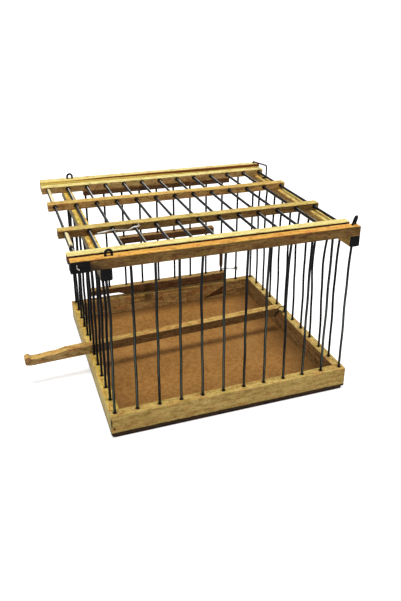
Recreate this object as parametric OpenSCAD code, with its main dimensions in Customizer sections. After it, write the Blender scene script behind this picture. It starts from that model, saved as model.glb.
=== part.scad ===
// Bird transport cage: a wooden tray with a hardboard floor, round bars seated in drilled
// boards and rails, a barred lid that slides, a barred door that swings, and a loose perch.
// Origin at the centre of the floor's underside, +X right, +Y to the rear, +Z up.

/* [Base] */
// Outer width of the base
cage_w = 250; // [230:1:280]
// Outer depth of the base
cage_d = 250; // [230:1:280]
// Thickness of the base boards
board_t = 10; // [9:0.5:12]
// Height of the base boards
board_h = 22; // [20:0.5:30]
// Thickness of the hardboard floor
floor_t = 3; // [2.5:0.5:5]
// Distance from the boards' outer faces to the floor's edge
floor_inset = 1; // [0:0.25:2]
// Corner radius of the floor
floor_corner_r = 3; // [1:0.5:6]
// Width of the broken edge along the wooden strips
arris = 0.5; // [0.2:0.1:0.9]

/* [Bars] */
// Diameter of the cage bars
bar_d = 2.5; // [2:0.1:2.8]
// Number of bars along a wall with its corner bars
bar_count = 12; // [11:1:13]
// Depth of a bar's seat in a base board
board_seat = 12; // [8:0.5:12]
// Depth of a bar's seat in a rail
rail_seat = 6; // [4:0.5:7]
// Radial clearance of a bar in its seat
seat_clear = 0.05; // [0.02:0.01:0.1]
// Free space past the end of a blind seat
seat_end_gap = 0.3; // [0.1:0.1:0.5]
// Height of the side walls' open part
wall_h = 139; // [120:1:170]

/* [Rails] */
// Width of every rail
rail_w = 10; // [9:0.5:12]
// Height of the side rails
side_rail_h = 10.5; // [9:0.5:14]
// Height of the front rail
cross_rail_h = 10; // [9:0.5:14]
// Height of the rear rail
rear_rail_h = 12; // [9:0.5:15]
// Length of the front and rear rails past the left side
left_overhang = 24; // [22:0.5:34]
// Thickness of the caps on the side rails' front ends
cap_t = 1; // [0.5:0.25:2]
// Radius of the caps' lower corners
cap_r = 1.5; // [0.5:0.25:3]

/* [Nails] */
// Diameter of a nail's shank
nail_d = 1.4; // [1:0.1:1.6]
// Diameter of a nail's head
nail_head_d = 2.2; // [1.8:0.1:2.4]
// Thickness of a nail's head
nail_head_t = 0.5; // [0.3:0.1:0.8]
// Length of the nails at the base corners
corner_nail_l = 20; // [16:1:30]
// Height of the corner nails above the boards' lower edge
corner_nail_z = 7; // [4:0.5:7.5]
// Distance of the corner nails from the side faces
corner_nail_in = 3; // [2.5:0.25:7]
// Length of the nails through the floor
floor_nail_l = 12; // [9:0.5:12]
// Length of the nails through the front and rear rails
rail_nail_l = 13; // [12:0.5:13.5]
// Distance of the rail nails from the side faces
rail_nail_in = 2.4; // [2:0.1:3]
// Shift of the front right rail nail towards the middle
rail_nail_shift = 1.1; // [0.5:0.1:2]
// Shift of the front right rail nail towards the front
rail_nail_front = 2.2; // [2:0.1:2.4]

/* [Tape] */
// Length of the black tape on the front rail's left end
tape_l = 16; // [10:0.5:20]
// Thickness of the tape
tape_t = 0.3; // [0.2:0.05:0.5]
// Wire of the staple in the tape
staple_d = 0.8; // [0.6:0.1:1]
// Length of the staple's back
staple_l = 4.6; // [4:0.1:6]
// Slant of the staple
staple_slant = 24; // [0:1:45]
// Bow of the staple's back
staple_bow = 1.2; // [0.5:0.1:1.5]
// Distance of the staple from the rail's end
staple_in = 6; // [5:0.5:9]
// Depth of the staple's legs in the rail
staple_leg = 3; // [2:0.5:5]

/* [Eyes] */
// Wire of the eyes
eye_wire_d = 2.3; // [1.8:0.1:2.5]
// Outer width of an eye
eye_w = 7.8; // [7.5:0.1:8.4]
// Height of the left eyes above the rail
eye_rise = 6.5; // [6:0.5:9]
// Height of the right eye above the rail
tall_eye_rise = 9.5; // [7:0.5:12]
// Depth of an eye's legs in the rail
eye_seat = 6; // [4:0.5:7]
// Distance of the front left eye from the left side
front_left_eye_in = 8.5; // [8:0.25:12]
// Distance of the rear left eye from the left side
rear_left_eye_in = 10; // [9:0.25:14]
// Distance of the right eye from the right side
right_eye_in = 4.25; // [4:0.25:5.5]
// Distance of the right eye behind the rail's middle
right_eye_back = 1.5; // [1:0.1:1.8]
// Direction in which the right eye stands in plan
right_eye_turn = 35; // [20:5:45]
// Lean of the right eye to the right
right_eye_lean = 17; // [10:1:20]

/* [Lid] */
// Diameter of the lid's spokes
spoke_d = 2.8; // [2.4:0.1:3.2]
// Width of the lid's laths
lath_w = 10; // [8:0.5:12]
// Height of the lid's laths
lath_h = 8; // [7:0.5:9]
// Gap between the front rail and the lid
lid_front_gap = 10; // [2:0.5:14]
// Gap between the rear rail and the lid
lid_rear_gap = 1; // [0.5:0.25:3]
// Clear distance between the first and second laths
lid_front_bay = 52.5; // [40:0.5:56]
// Clear distance between the third and rear laths
lid_rear_bay = 54; // [48:0.5:60]
// Distance of the first spoke from the laths' left ends
end_spoke_in = 7.2; // [5:0.1:9]
// Diameter of the pale sleeves on the first spoke
sleeve_d = 4.6; // [4.2:0.1:5.5]
// Length of the front sleeve
front_sleeve_l = 32.5; // [15:0.5:34]
// Distance between the front sleeve and the ring
ring_gap = 4; // [1:0.5:5]
// Width of the ring
ring_w = 2; // [1.5:0.25:3]
// Diameter of the ring
ring_d = 5; // [4.4:0.1:6]
// Wire of the bent nail in the second lath
bent_nail_d = 1.4; // [1:0.1:1.6]
// Length of the bent nail past the second spoke it crosses
bent_nail_tail = 15.6; // [6:0.2:15.6]
// Distance of the bent nail in front of the lath at its shank
bent_nail_out = 5.5; // [2:0.5:7]
// Further distance in front of the lath at the second spoke
bent_nail_sway = 2; // [0:0.5:3]
// Sag of the bent nail between the two spokes
bent_nail_sag = 1.9; // [0:0.1:2.2]
// Gap between the bent nail and what it passes
bent_nail_gap = 0.2; // [0.1:0.05:0.4]
// Distance of the bent nail's shank past the spoke it crosses
bent_nail_past = 3.6; // [3.5:0.1:6]
// Fall of the bent nail's free end
bent_nail_fall = 1.6; // [0:0.1:2]

/* [Lid catch] */
// Wire of the lid catch
catch_d = 2; // [1.6:0.1:2]
// Distance of the catch's pivot from the right side
catch_in = 6.5; // [5:0.25:9]
// Depth of the pivot in the rear rail
catch_seat = 8; // [5:0.5:9]
// Height of the arm's rear end above the rear rail
catch_rise = 2; // [1.8:0.1:5]
// Rise of the arm towards the front
catch_climb = 2.4; // [0:0.2:5]
// Distance of the hook in front of the pivot
catch_reach = 32.5; // [24:0.5:40]
// Length of the foot under the last spoke
catch_foot_l = 5.5; // [4.5:0.25:8]
// Gap between the catch and what it passes
catch_gap = 0.3; // [0.2:0.05:0.4]

/* [Door] */
// Depth of the door's wooden bars
door_bar_w = 9; // [8:0.5:12]
// Height of the door's bottom bar
door_bottom_h = 11.5; // [9:0.5:14]
// Height of the door's middle bar
door_middle_h = 8.5; // [6:0.5:12]
// Height of the door's top bar
door_top_h = 6; // [5:0.5:9]
// Gap between the rear board and the door
door_low_gap = 3; // [1:0.5:5]
// Gap between the door and the rear rail
door_high_gap = 3.5; // [1:0.5:6]
// Distance between the bottom bar and the middle bar
door_middle_rise = 58.5; // [50:0.5:80]
// Length of the top and bottom bars past the hinge wire
door_hinge_past = 2.4; // [2.2:0.1:6]
// Length of the top bar past the last wire
door_top_past = 8; // [4:0.5:10]
// Length of the bottom bar past the last wire
door_bottom_past = 6; // [4:0.5:10]
// Length of the middle bar past its first wire
door_middle_left = 7; // [4:0.5:10]
// Length of the middle bar past its last wire
door_middle_right = 9.5; // [4:0.5:10]
// Length of the cut under the bottom bar's hinge end
door_cut_l = 46; // [20:1:60]
// Height of the cut under the bottom bar's hinge end
door_cut_h = 4; // [0.5:0.25:5]
// Depth of the wires' seats in the bottom and top bars
door_seat = 4; // [3:0.25:4]
// Diameter of the brown sleeve on the last wire
grip_d = 4.7; // [4.2:0.1:6]
// Length of the brown sleeve
grip_l = 34; // [20:1:45]
// Distance of the sleeve above the bottom bar
grip_rise = 6.5; // [6:0.5:10]
// Length of the sleeve's tapered end
grip_taper = 4; // [2:0.5:8]

/* [Door latch] */
// Wire of the door latch
latch_d = 1.4; // [1:0.1:1.6]
// Gap between the latch and the bars
latch_gap = 0.3; // [0.2:0.05:0.4]
// Distance of the latch above the door's bottom bar
latch_rise = 1.4; // [1.2:0.1:4]
// Reach of the latch from the post bar
latch_reach = 18; // [17:0.5:19]
// Length of the latch's hook behind the door
latch_hook_l = 5.5; // [4:0.5:9]
// Turns of the latch's coil round the post bar
latch_turns = 1.5; // [1.5:0.5:2.5]
// Rise of the coil in one turn
latch_pitch = 2.6; // [2:0.1:4]

/* [Perch] */
// Width of the perch
perch_w = 9.5; // [8:0.25:11]
// Height of the perch inside the cage
perch_h = 10; // [8:0.5:12]
// Distance of the perch's inner end from the right board
perch_end_gap = 6; // [5:0.5:10]
// Length of the perch
perch_l = 302; // [280:1:330]
// Turn of the perch in plan
perch_turn = 3.3; // [2.5:0.1:4]
// Distance of the perch's axis in front of the middle where it leaves the cage
perch_exit_front = 4; // [3.5:0.1:4.2]
// Length of the thinner shank outside the cage
perch_shank_l = 43; // [30:1:55]
// Height of the shank
perch_shank_h = 8; // [7:0.25:9]
// Height of the neck before the knob
perch_neck_h = 7; // [5.5:0.25:8]
// Length of the upturned knob
perch_knob_l = 5.5; // [4:0.25:9]
// Height of the knob
perch_knob_h = 10; // [9:0.25:13]
// Rise of the rounded underside at the knob
perch_tip_rise = 1.2; // [0.5:0.1:2]
// Wire of the loop at the perch's inner end
loop_d = 1.4; // [1:0.1:1.6]
// Gap between the loop and what it holds
loop_gap = 0.3; // [0.2:0.05:0.4]
// Length of the loop along the perch
loop_l = 4.5; // [3:0.25:8]

/* [Hidden] */

$fn = 32;
eps = 0.5;
through = 1000;

// facets of the freely bent wires
wire_sides = 12;
bend_steps = 6;
coil_steps = 12;
// share of a wire's diameter at which its bent part leaves a round pin or ring
inner_share = 0.98;

half_w = cage_w / 2;
half_d = cage_d / 2;

// heights of the stacked pieces
board_top = floor_t + board_h;
side_z = board_top + wall_h;
cross_z = side_z + side_rail_h;
cross_top = cross_z + cross_rail_h;
cross_mid = cross_z + cross_rail_h / 2;
rear_top = cross_z + rear_rail_h;

// lines on which the bars stand
wall_x = half_w - board_t / 2;
wall_y = half_d - board_t / 2;
pitch_x = 2 * wall_x / (bar_count - 1);
pitch_y = 2 * wall_y / (bar_count - 1);
last = bar_count - 1;
function bar_x(i) = i * pitch_x - wall_x;
function bar_y(i) = i * pitch_y - wall_y;

// the door's bars and the fixed bars next to it
hinge_i = 1;
door_last_i = last - 2;
post_i = last - 1;
middle_first_i = 3;
middle_last_i = door_last_i - 1;

front_points = [for (i = [0 : last]) [bar_x(i), -wall_y]];
front_rail_points = [for (i = [1 : last - 1]) [bar_x(i), -wall_y]];
left_points = [for (i = [1 : last - 1]) [-wall_x, bar_y(i)]];
right_points = [for (i = [1 : last - 1]) [wall_x, bar_y(i)]];
rear_corner_points = [[bar_x(0), wall_y], [bar_x(last), wall_y]];
post_point = [bar_x(post_i), wall_y];
hinge_point = [bar_x(hinge_i), wall_y];
door_points = [for (i = [hinge_i + 1 : door_last_i]) [bar_x(i), wall_y]];

bore_d = bar_d + 2 * seat_clear;
spoke_bore_d = spoke_d + 2 * seat_clear;
board_bore = board_seat + seat_end_gap;
rail_bore = rail_seat + seat_end_gap;

// the front and rear rails and the lid's laths share their ends
cross_left = -half_w - left_overhang;
cross_l = cage_w + left_overhang;
rail_front_y = -wall_y - rail_w / 2;
rail_rear_y = wall_y + rail_w / 2;

// front faces of the lid's laths
lath_1_y = rail_front_y + rail_w + lid_front_gap;
lath_2_y = lath_1_y + lath_w + lid_front_bay;
lath_4_y = rail_rear_y - rail_w - lid_rear_gap - lath_w;
lath_3_y = lath_4_y - lid_rear_bay - lath_w;
spoke_z = cross_z + lath_h / 2;
spoke_front = lath_1_y + lath_w - rail_seat;
spoke_rear = lath_4_y + rail_seat;
first_spoke_x = cross_left + end_spoke_in;
spoke_pitch = (wall_x - first_spoke_x) / bar_count;
spoke_xs = [for (i = [0 : bar_count]) first_spoke_x + i * spoke_pitch];
last_spoke_x = wall_x;

// door levels
door_z = board_top + door_low_gap;
door_bottom_top = door_z + door_bottom_h;
door_middle_z = door_bottom_top + door_middle_rise;
door_top_top = cross_z - door_high_gap;
door_top_z = door_top_top - door_top_h;
door_left = bar_x(hinge_i) - door_hinge_past;
door_top_right = bar_x(door_last_i) + door_top_past;
door_bottom_right = bar_x(door_last_i) + door_bottom_past;
middle_left = bar_x(middle_first_i) - door_middle_left;
middle_right = bar_x(middle_last_i) + door_middle_right;

// perch frame: s runs along the perch from its inner end, t across it, both from the exit
perch_dir = [-cos(perch_turn), -sin(perch_turn)];
perch_inner_x = half_w - board_t - perch_end_gap;
perch_inner_y = (perch_inner_x + half_w) * tan(perch_turn) - perch_exit_front;
loop_bar_i = floor(last / 2) + 1;
loop_bar = [wall_x, bar_y(loop_bar_i)];

// ---------- common shapes ----------

// strip of wood along X with broken edges, from its front left lower corner
module strip(l, w, h) {
    profile = [
        [arris, 0], [w - arris, 0], [w, arris], [w, h - arris],
        [w - arris, h], [arris, h], [0, h - arris], [0, arris]
    ];
    rotate([90, 0, 90])
        linear_extrude(height = l)
            polygon(profile);
}

// upright round bars at a list of plan points
module uprights(points, z0, z1, d) {
    for (p = points)
        translate([p.x, p.y, z0])
            cylinder(h = z1 - z0, d = d);
}

// nail with its head outwards at the origin and its shank along +Z
module nail(l) {
    cylinder(h = l, d = nail_d);
    cylinder(h = nail_head_t, d = nail_head_d);
}

// hole that takes a nail
module nail_hole(l) {
    cylinder(h = l + seat_end_gap, d = nail_d + 2 * seat_clear);
    translate([0, 0, -eps])
        cylinder(h = nail_head_t + eps, d = nail_head_d + 2 * seat_clear);
}

function unit(v) = v / norm(v);
function turn_at(a, b, c) = acos(max(-1, min(1, unit(b - a) * unit(c - b))));
function cut_at(a, b, c, r) = r * tan(turn_at(a, b, c) / 2);

// straight piece of wire
module stretch(a, b, d) {
    v = b - a;
    translate(a)
        rotate([0, acos(v.z / norm(v)), atan2(v.y, v.x)])
            cylinder(h = norm(v), d = d);
}

// bend of a wire at b on its way from a to c
module bend(a, b, c, r, d) {
    u = unit(b - a);
    w = unit(c - b);
    inward = unit(w - (w * u) * u);
    start = b - u * cut_at(a, b, c, r);
    centre = start + r * inward;
    side = cross(-inward, u);
    multmatrix([
        [-inward.x, u.x, side.x, centre.x],
        [-inward.y, u.y, side.y, centre.y],
        [-inward.z, u.z, side.z, centre.z]
    ])
        rotate_extrude(angle = turn_at(a, b, c))
            translate([r, 0])
                circle(d = d);
}

// wire with one bend at b
module elbow(a, b, c, r, d) {
    cut = cut_at(a, b, c, r);
    stretch(a, b - unit(b - a) * cut, d);
    bend(a, b, c, r, d);
    stretch(b + unit(c - b) * cut, c, d);
}

// points along the bend at b, bent to radius r
function bend_points(a, b, c, r) =
    let (
        u = unit(b - a),
        w = unit(c - b),
        inward = unit(w - (w * u) * u),
        centre = b - u * cut_at(a, b, c, r) + r * inward,
        total = turn_at(a, b, c)
    )
    [for (k = [0 : bend_steps])
        let (t = total * k / bend_steps)
            centre + r * (sin(t) * u - cos(t) * inward)];

// points along a wire whose corners are bent to radius r
function wire_path(pts, r) = concat(
    [pts[0]],
    [for (i = [1 : len(pts) - 2]) each bend_points(pts[i - 1], pts[i], pts[i + 1], r)],
    [pts[len(pts) - 1]]
);

// direction that is carried along the wire without twist
function carried(tangents, i, before) =
    i == len(tangents)
        ? []
        : let (now = unit(before - (before * tangents[i]) * tangents[i]))
            concat([now], carried(tangents, i + 1, now));

// freely bent wire through points, each corner bent to radius r
module bent_wire(pts, r, d) {
    swept_wire(wire_path(pts, r), d);
}

// wire along a path of close points
module swept_wire(path, d) {
    n = len(path);
    tangents = [for (i = [0 : n - 1]) unit(path[min(i + 1, n - 1)] - path[max(i - 1, 0)])];
    upright = abs(tangents[0].z) > 0.9;
    normals = carried(tangents, 0, upright ? [1, 0, 0] : [0, 0, 1]);
    points = [for (i = [0 : n - 1])
        for (k = [0 : wire_sides - 1])
            let (a = 360 * k / wire_sides)
                path[i] + d / 2 * (cos(a) * normals[i] + sin(a) * cross(tangents[i], normals[i]))];
    skin = [for (i = [0 : n - 2])
        for (k = [0 : wire_sides - 1])
            let (
                p = i * wire_sides + k,
                q = i * wire_sides + (k + 1) % wire_sides
            )
            each [[p, p + wire_sides, q], [q, p + wire_sides, q + wire_sides]]];
    first_end = [for (k = [0 : wire_sides - 1]) k];
    last_end = [for (k = [0 : wire_sides - 1]) n * wire_sides - 1 - k];
    polyhedron(points = points, faces = concat(skin, [first_end, last_end]));
}

// eye of bent wire in the XZ plane, seated in a rail's top at the origin
module wire_eye(rise) {
    r = (eye_w - eye_wire_d) / 2;
    crown_z = rise - eye_wire_d / 2 - r;
    for (side = [-1, 1])
        translate([side * r, 0, -eye_seat])
            cylinder(h = eye_seat + crown_z, d = eye_wire_d);
    translate([0, 0, crown_z])
        rotate([90, 0, 0])
            rotate_extrude(angle = 180)
                translate([r, 0])
                    circle(d = eye_wire_d);
}

module wire_eye_seats() {
    r = (eye_w - eye_wire_d) / 2;
    for (side = [-1, 1])
        translate([side * r, 0, -eye_seat - seat_end_gap])
            cylinder(h = eye_seat + seat_end_gap + 4 * eps, d = eye_wire_d + 2 * seat_clear);
}

// ---------- places that several pieces share ----------

module at_front_left_eye() {
    translate([front_left_eye_in - half_w, -wall_y, cross_top]) children();
}

module at_rear_left_eye() {
    translate([rear_left_eye_in - half_w, wall_y, rear_top]) children();
}

module at_front_right_eye() {
    translate([half_w - right_eye_in, right_eye_back - wall_y, cross_top])
        rotate([0, right_eye_lean, 0])
            rotate([0, 0, right_eye_turn])
                children();
}

module at_corner_nails() {
    for (sx = [-1, 1])
        for (sy = [-1, 1])
            translate([sx * (half_w - corner_nail_in), sy * half_d, floor_t + corner_nail_z])
                rotate([sy * 90, 0, 0])
                    children();
}

floor_nail_i = 2;
floor_nail_x = bar_x(floor_nail_i) + pitch_x / 2;
floor_nail_y = bar_y(floor_nail_i) + pitch_y / 2;

module at_floor_nails() {
    for (sx = [-1, 1])
        for (sy = [-1, 1]) {
            translate([sx * floor_nail_x, sy * wall_y, 0]) children();
            translate([sx * wall_x, sy * floor_nail_y, 0]) children();
        }
}

rear_nail_l = rail_nail_l + rear_rail_h - cross_rail_h;
rear_nail_xs = [rail_nail_in - half_w, half_w - rail_nail_in];

module at_nails_from_top(xs, y, top) {
    for (x = xs)
        translate([x, y, top])
            mirror([0, 0, 1])
                children();
}

module at_front_rail_nails() {
    at_nails_from_top([rail_nail_in - half_w], -wall_y, cross_top) children();
    at_nails_from_top(
        [half_w - rail_nail_in - rail_nail_shift], -wall_y - rail_nail_front, cross_top
    ) children();
}

module at_rear_rail_nails() {
    at_nails_from_top(rear_nail_xs, wall_y, rear_top) children();
}

staple_x = cross_left + staple_in;
staple_r = staple_d * 3 / 4;
staple_y = rail_front_y - tape_t - staple_r - seat_clear;

// point of the staple's slanted back: along it, and out to its bow
function staple_point(along, bow, y) = [
    staple_x - along * sin(staple_slant) - bow * cos(staple_slant),
    y,
    cross_mid + along * cos(staple_slant) - bow * sin(staple_slant)
];

module staple_seats() {
    for (side = [-1, 1])
        translate(staple_point(side * staple_l / 2, 0, rail_front_y - tape_t - eps))
            rotate([-90, 0, 0])
                cylinder(h = eps + tape_t + staple_leg + seat_end_gap, d = staple_d + 2 * seat_clear);
}

// ---------- base ----------

module base_front_board() {
    color("#B9A262")
        difference() {
            translate([-half_w, -half_d, floor_t]) strip(cage_w, board_t, board_h);
            uprights(front_points, board_top - board_bore, board_top + eps, bore_d);
            at_corner_nails() nail_hole(corner_nail_l);
            at_floor_nails() nail_hole(floor_nail_l);
        }
}

module base_rear_board() {
    color("#A88A4C")
        difference() {
            translate([-half_w, half_d - board_t, floor_t]) strip(cage_w, board_t, board_h);
            uprights(rear_corner_points, board_top - board_bore, board_top + eps, bore_d);
            uprights([post_point, hinge_point], board_top - board_bore, board_top + eps, bore_d);
            at_corner_nails() nail_hole(corner_nail_l);
            at_floor_nails() nail_hole(floor_nail_l);
        }
}

module side_board(points, x) {
    difference() {
        translate([x, board_t - half_d, floor_t])
            rotate([0, 0, 90])
                mirror([0, 1, 0])
                    strip(cage_d - 2 * board_t, board_t, board_h);
        uprights(points, board_top - board_bore, board_top + eps, bore_d);
        at_corner_nails() nail_hole(corner_nail_l);
        at_floor_nails() nail_hole(floor_nail_l);
    }
}

module base_left_board() {
    color("#DCC070") side_board(left_points, -half_w);
}

module base_right_board() {
    color("#DCC070") side_board(right_points, half_w - board_t);
}

module floor_panel() {
    px = half_w - floor_inset - floor_corner_r;
    py = half_d - floor_inset - floor_corner_r;
    color("#B07A40")
        difference() {
            linear_extrude(height = floor_t) {
                square([2 * px, 2 * (py + floor_corner_r)], center = true);
                square([2 * (px + floor_corner_r), 2 * py], center = true);
                for (sx = [-1, 1])
                    for (sy = [-1, 1])
                        translate([sx * px, sy * py]) circle(r = floor_corner_r);
            }
            at_floor_nails() nail_hole(floor_nail_l);
        }
}

module corner_nails() {
    color("#6B6558") at_corner_nails() nail(corner_nail_l);
}

module floor_nails() {
    color("#6B6558") at_floor_nails() nail(floor_nail_l);
}

// ---------- bars ----------

module front_bars() {
    low = board_top - board_seat;
    color("#2A2E32") {
        uprights(front_rail_points, low, cross_z + rail_seat, bar_d);
        uprights([front_points[0], front_points[last]], low, side_z + rail_seat, bar_d);
    }
}

module left_bars() {
    color("#2A2E32")
        uprights(left_points, board_top - board_seat, side_z + rail_seat, bar_d);
}

module right_bars() {
    color("#2A2E32")
        uprights(right_points, board_top - board_seat, side_z + rail_seat, bar_d);
}

module rear_corner_bars() {
    color("#2A2E32")
        uprights(rear_corner_points, board_top - board_seat, side_z + rail_seat, bar_d);
}

module door_post_bar() {
    color("#2A2E32")
        uprights([post_point], board_top - board_seat, cross_z + rail_seat, bar_d);
}

// ---------- rails ----------

module side_rail(x, points) {
    difference() {
        translate([x - rail_w / 2, cap_t - half_d, side_z])
            rotate([0, 0, 90])
                mirror([0, 1, 0])
                    strip(cage_d - cap_t, rail_w, side_rail_h);
        uprights(points, side_z - eps, side_z + rail_bore, bore_d);
        at_front_rail_nails() nail_hole(rail_nail_l);
        at_rear_rail_nails() nail_hole(rear_nail_l);
    }
}

module left_side_rail() {
    color("#C9B070")
        side_rail(-wall_x, concat(left_points, [[-wall_x, -wall_y], [-wall_x, wall_y]]));
}

module right_side_rail() {
    color("#C9B070")
        side_rail(wall_x, concat(right_points, [[wall_x, -wall_y], [wall_x, wall_y]]));
}

module end_cap(x) {
    color("#16140F")
        translate([x, cap_t - half_d, side_z])
            rotate([90, 0, 0])
                linear_extrude(height = cap_t) {
                    translate([-rail_w / 2, cap_r]) square([rail_w, side_rail_h - cap_r]);
                    translate([cap_r - rail_w / 2, 0]) square([rail_w - 2 * cap_r, cap_r]);
                    for (side = [-1, 1])
                        translate([side * (rail_w / 2 - cap_r), cap_r]) circle(r = cap_r);
                }
}

module left_end_cap() {
    end_cap(-wall_x);
}

module right_end_cap() {
    end_cap(wall_x);
}

module front_top_rail() {
    color("#DD9A4E")
        difference() {
            translate([cross_left, rail_front_y, cross_z]) strip(cross_l, rail_w, cross_rail_h);
            uprights(front_rail_points, cross_z - eps, cross_z + rail_bore, bore_d);
            at_front_rail_nails() nail_hole(rail_nail_l);
            at_front_left_eye() wire_eye_seats();
            at_front_right_eye() wire_eye_seats();
            staple_seats();
        }
}

module rear_top_rail() {
    color("#E1D8A0")
        difference() {
            translate([cross_left, rail_rear_y - rail_w, cross_z])
                strip(cross_l, rail_w, rear_rail_h);
            uprights([post_point, hinge_point], cross_z - eps, cross_z + rail_bore, bore_d);
            at_rear_rail_nails() nail_hole(rear_nail_l);
            at_rear_left_eye() wire_eye_seats();
            catch_pivot(catch_d + 2 * seat_clear, seat_end_gap, eps);
        }
}

module top_rail_nails() {
    color("#6B6558") {
        at_front_rail_nails() nail(rail_nail_l);
        at_rear_rail_nails() nail(rear_nail_l);
    }
}

// tape laid round the rail's front face, underside and end, the top left bare
module rail_end_tape() {
    color("#16140F")
        difference() {
            translate([cross_left - tape_t, rail_front_y - tape_t, cross_z - tape_t])
                cube([tape_l + tape_t, rail_w + tape_t, cross_rail_h + tape_t - arris]);
            translate([cross_left, rail_front_y, cross_z])
                cube([tape_l + eps, rail_w + eps, cross_rail_h + eps]);
            staple_seats();
        }
}

module tape_staple() {
    deep = rail_front_y + staple_leg;
    color("#D8D6CC")
        bent_wire([
            staple_point(staple_l / 2, 0, deep),
            staple_point(staple_l / 2, 0, staple_y),
            staple_point(0, staple_bow, staple_y),
            staple_point(-staple_l / 2, 0, staple_y),
            staple_point(-staple_l / 2, 0, deep)
        ], staple_r, staple_d);
}

module eye_front_left() {
    color("#4A4844") at_front_left_eye() wire_eye(eye_rise);
}

module eye_rear_left() {
    color("#4A4844") at_rear_left_eye() wire_eye(eye_rise);
}

module eye_front_right() {
    color("#4A4844") at_front_right_eye() wire_eye(tall_eye_rise);
}

// ---------- lid ----------

module spokes(d, extra) {
    for (x = spoke_xs)
        translate([x, spoke_front - extra, spoke_z])
            rotate([-90, 0, 0])
                cylinder(h = spoke_rear - spoke_front + 2 * extra, d = d);
}

module lath(y) {
    difference() {
        translate([cross_left, y, cross_z]) strip(cross_l, lath_w, lath_h);
        spokes(spoke_bore_d, seat_end_gap);
    }
}

module lid_front_lath() {
    color("#F5E78C") lath(lath_1_y);
}

module lid_second_lath() {
    color("#DCC87A")
        difference() {
            lath(lath_2_y);
            bent_nail_hole();
        }
}

module lid_third_lath() {
    color("#F0E090") lath(lath_3_y);
}

module lid_rear_lath() {
    color("#F0E090") lath(lath_4_y);
}

module lid_spokes() {
    color("#2A2E32") spokes(spoke_d, 0);
}

// sleeve on the first spoke between two places along it
module spoke_sleeve(y0, y1, d) {
    translate([first_spoke_x, y0, spoke_z])
        rotate([-90, 0, 0])
            difference() {
                cylinder(h = y1 - y0, d = d);
                translate([0, 0, -eps]) cylinder(h = y1 - y0 + 2 * eps, d = spoke_bore_d);
            }
}

module front_spoke_sleeve() {
    color("#E8DCA8") spoke_sleeve(lath_2_y - front_sleeve_l, lath_2_y, sleeve_d);
}

module rear_spoke_sleeve() {
    color("#E8DCA8") spoke_sleeve(lath_3_y + lath_w, lath_4_y, sleeve_d);
}

module sleeve_ring() {
    y = lath_2_y - front_sleeve_l - ring_gap;
    color("#1B1A18") spoke_sleeve(y - ring_w, y, ring_d);
}

bent_nail_spoke_i = 3;
bent_nail_seat = 5;
bent_nail_spoke_x = spoke_xs[bent_nail_spoke_i];
bent_nail_x = bent_nail_spoke_x + bent_nail_past;
bent_nail_y = lath_2_y - bent_nail_gap - bent_nail_d / 2;
// the bent nail crosses just above the spoke
bent_nail_z = spoke_z + spoke_d / 2 + bent_nail_gap + bent_nail_d / 2;
bent_nail_rise = 0.35;

module bent_nail_hole() {
    translate([bent_nail_x, lath_2_y - eps, bent_nail_z + bent_nail_rise])
        rotate([-90, 0, 0])
            cylinder(h = eps + bent_nail_seat + seat_end_gap, d = bent_nail_d + 2 * seat_clear);
}

// from its seat in the lath over two spokes, sagging between them
module lid_bent_nail() {
    start_z = bent_nail_z + bent_nail_rise;
    clear_x = bent_nail_d + spoke_d / 3;
    next_x = spoke_xs[bent_nail_spoke_i - 1];
    near_y = bent_nail_y - bent_nail_out;
    far_y = near_y - bent_nail_sway;
    color("#D8D6CC")
        bent_wire([
            [bent_nail_x, lath_2_y + bent_nail_seat, start_z],
            [bent_nail_x, near_y, start_z],
            [bent_nail_spoke_x - clear_x, near_y, bent_nail_z],
            [bent_nail_spoke_x - pitch_x / 3, (near_y + far_y) / 2, bent_nail_z - bent_nail_sag],
            [next_x + clear_x, far_y, bent_nail_z],
            [next_x - clear_x, far_y, bent_nail_z],
            [next_x - bent_nail_tail, far_y, bent_nail_z - bent_nail_fall]
        ], bent_nail_d * 3 / 4, bent_nail_d);
}

// ---------- lid catch ----------

catch_x = half_w - catch_in;

module catch_pivot(d, below, above) {
    translate([catch_x, wall_y, rear_top - catch_seat - below])
        cylinder(h = catch_seat + below + above, d = d);
}

module lid_catch() {
    bend_r = 1.6;
    leg_x = last_spoke_x + spoke_d / 2 + catch_gap + catch_d / 2;
    leg_y = wall_y - catch_reach;
    arm_z = rear_top + catch_rise;
    foot_z = cross_z + catch_gap + catch_d / 2;
    color("#3A3833") {
        catch_pivot(catch_d, 0, catch_gap);
        bent_wire([
            [catch_x, wall_y, rear_top - catch_seat / 2],
            [catch_x, wall_y, arm_z],
            [leg_x, leg_y, arm_z + catch_climb],
            [leg_x, leg_y, foot_z],
            [leg_x - catch_foot_l, leg_y, foot_z]
        ], bend_r, catch_d * inner_share);
    }
}

// ---------- door ----------

module door_bar(x0, x1, z, h) {
    difference() {
        translate([x0, wall_y - door_bar_w / 2, z]) strip(x1 - x0, door_bar_w, h);
        children();
    }
}

module door_top_bar() {
    color("#5A3222")
        door_bar(door_left, door_top_right, door_top_z, door_top_h) {
            uprights(door_points, door_top_z - eps, door_top_z + door_seat + seat_end_gap, bore_d);
            uprights([hinge_point], 0, through, bore_d);
        }
}

module door_middle_bar() {
    color("#5A3222")
        door_bar(middle_left, middle_right, door_middle_z, door_middle_h)
            uprights(door_points, 0, through, bore_d);
}

// cut under the bottom bar's hinge end, run out over its last part
module door_cut() {
    full_l = door_cut_l * 3 / 4;
    translate([door_left, wall_y + door_bar_w / 2 + eps, door_z])
        rotate([90, 0, 0])
            linear_extrude(height = door_bar_w + 2 * eps)
                polygon([
                    [-eps, -eps], [door_cut_l, -eps], [door_cut_l, 0],
                    [full_l, door_cut_h], [-eps, door_cut_h]
                ]);
}

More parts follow.
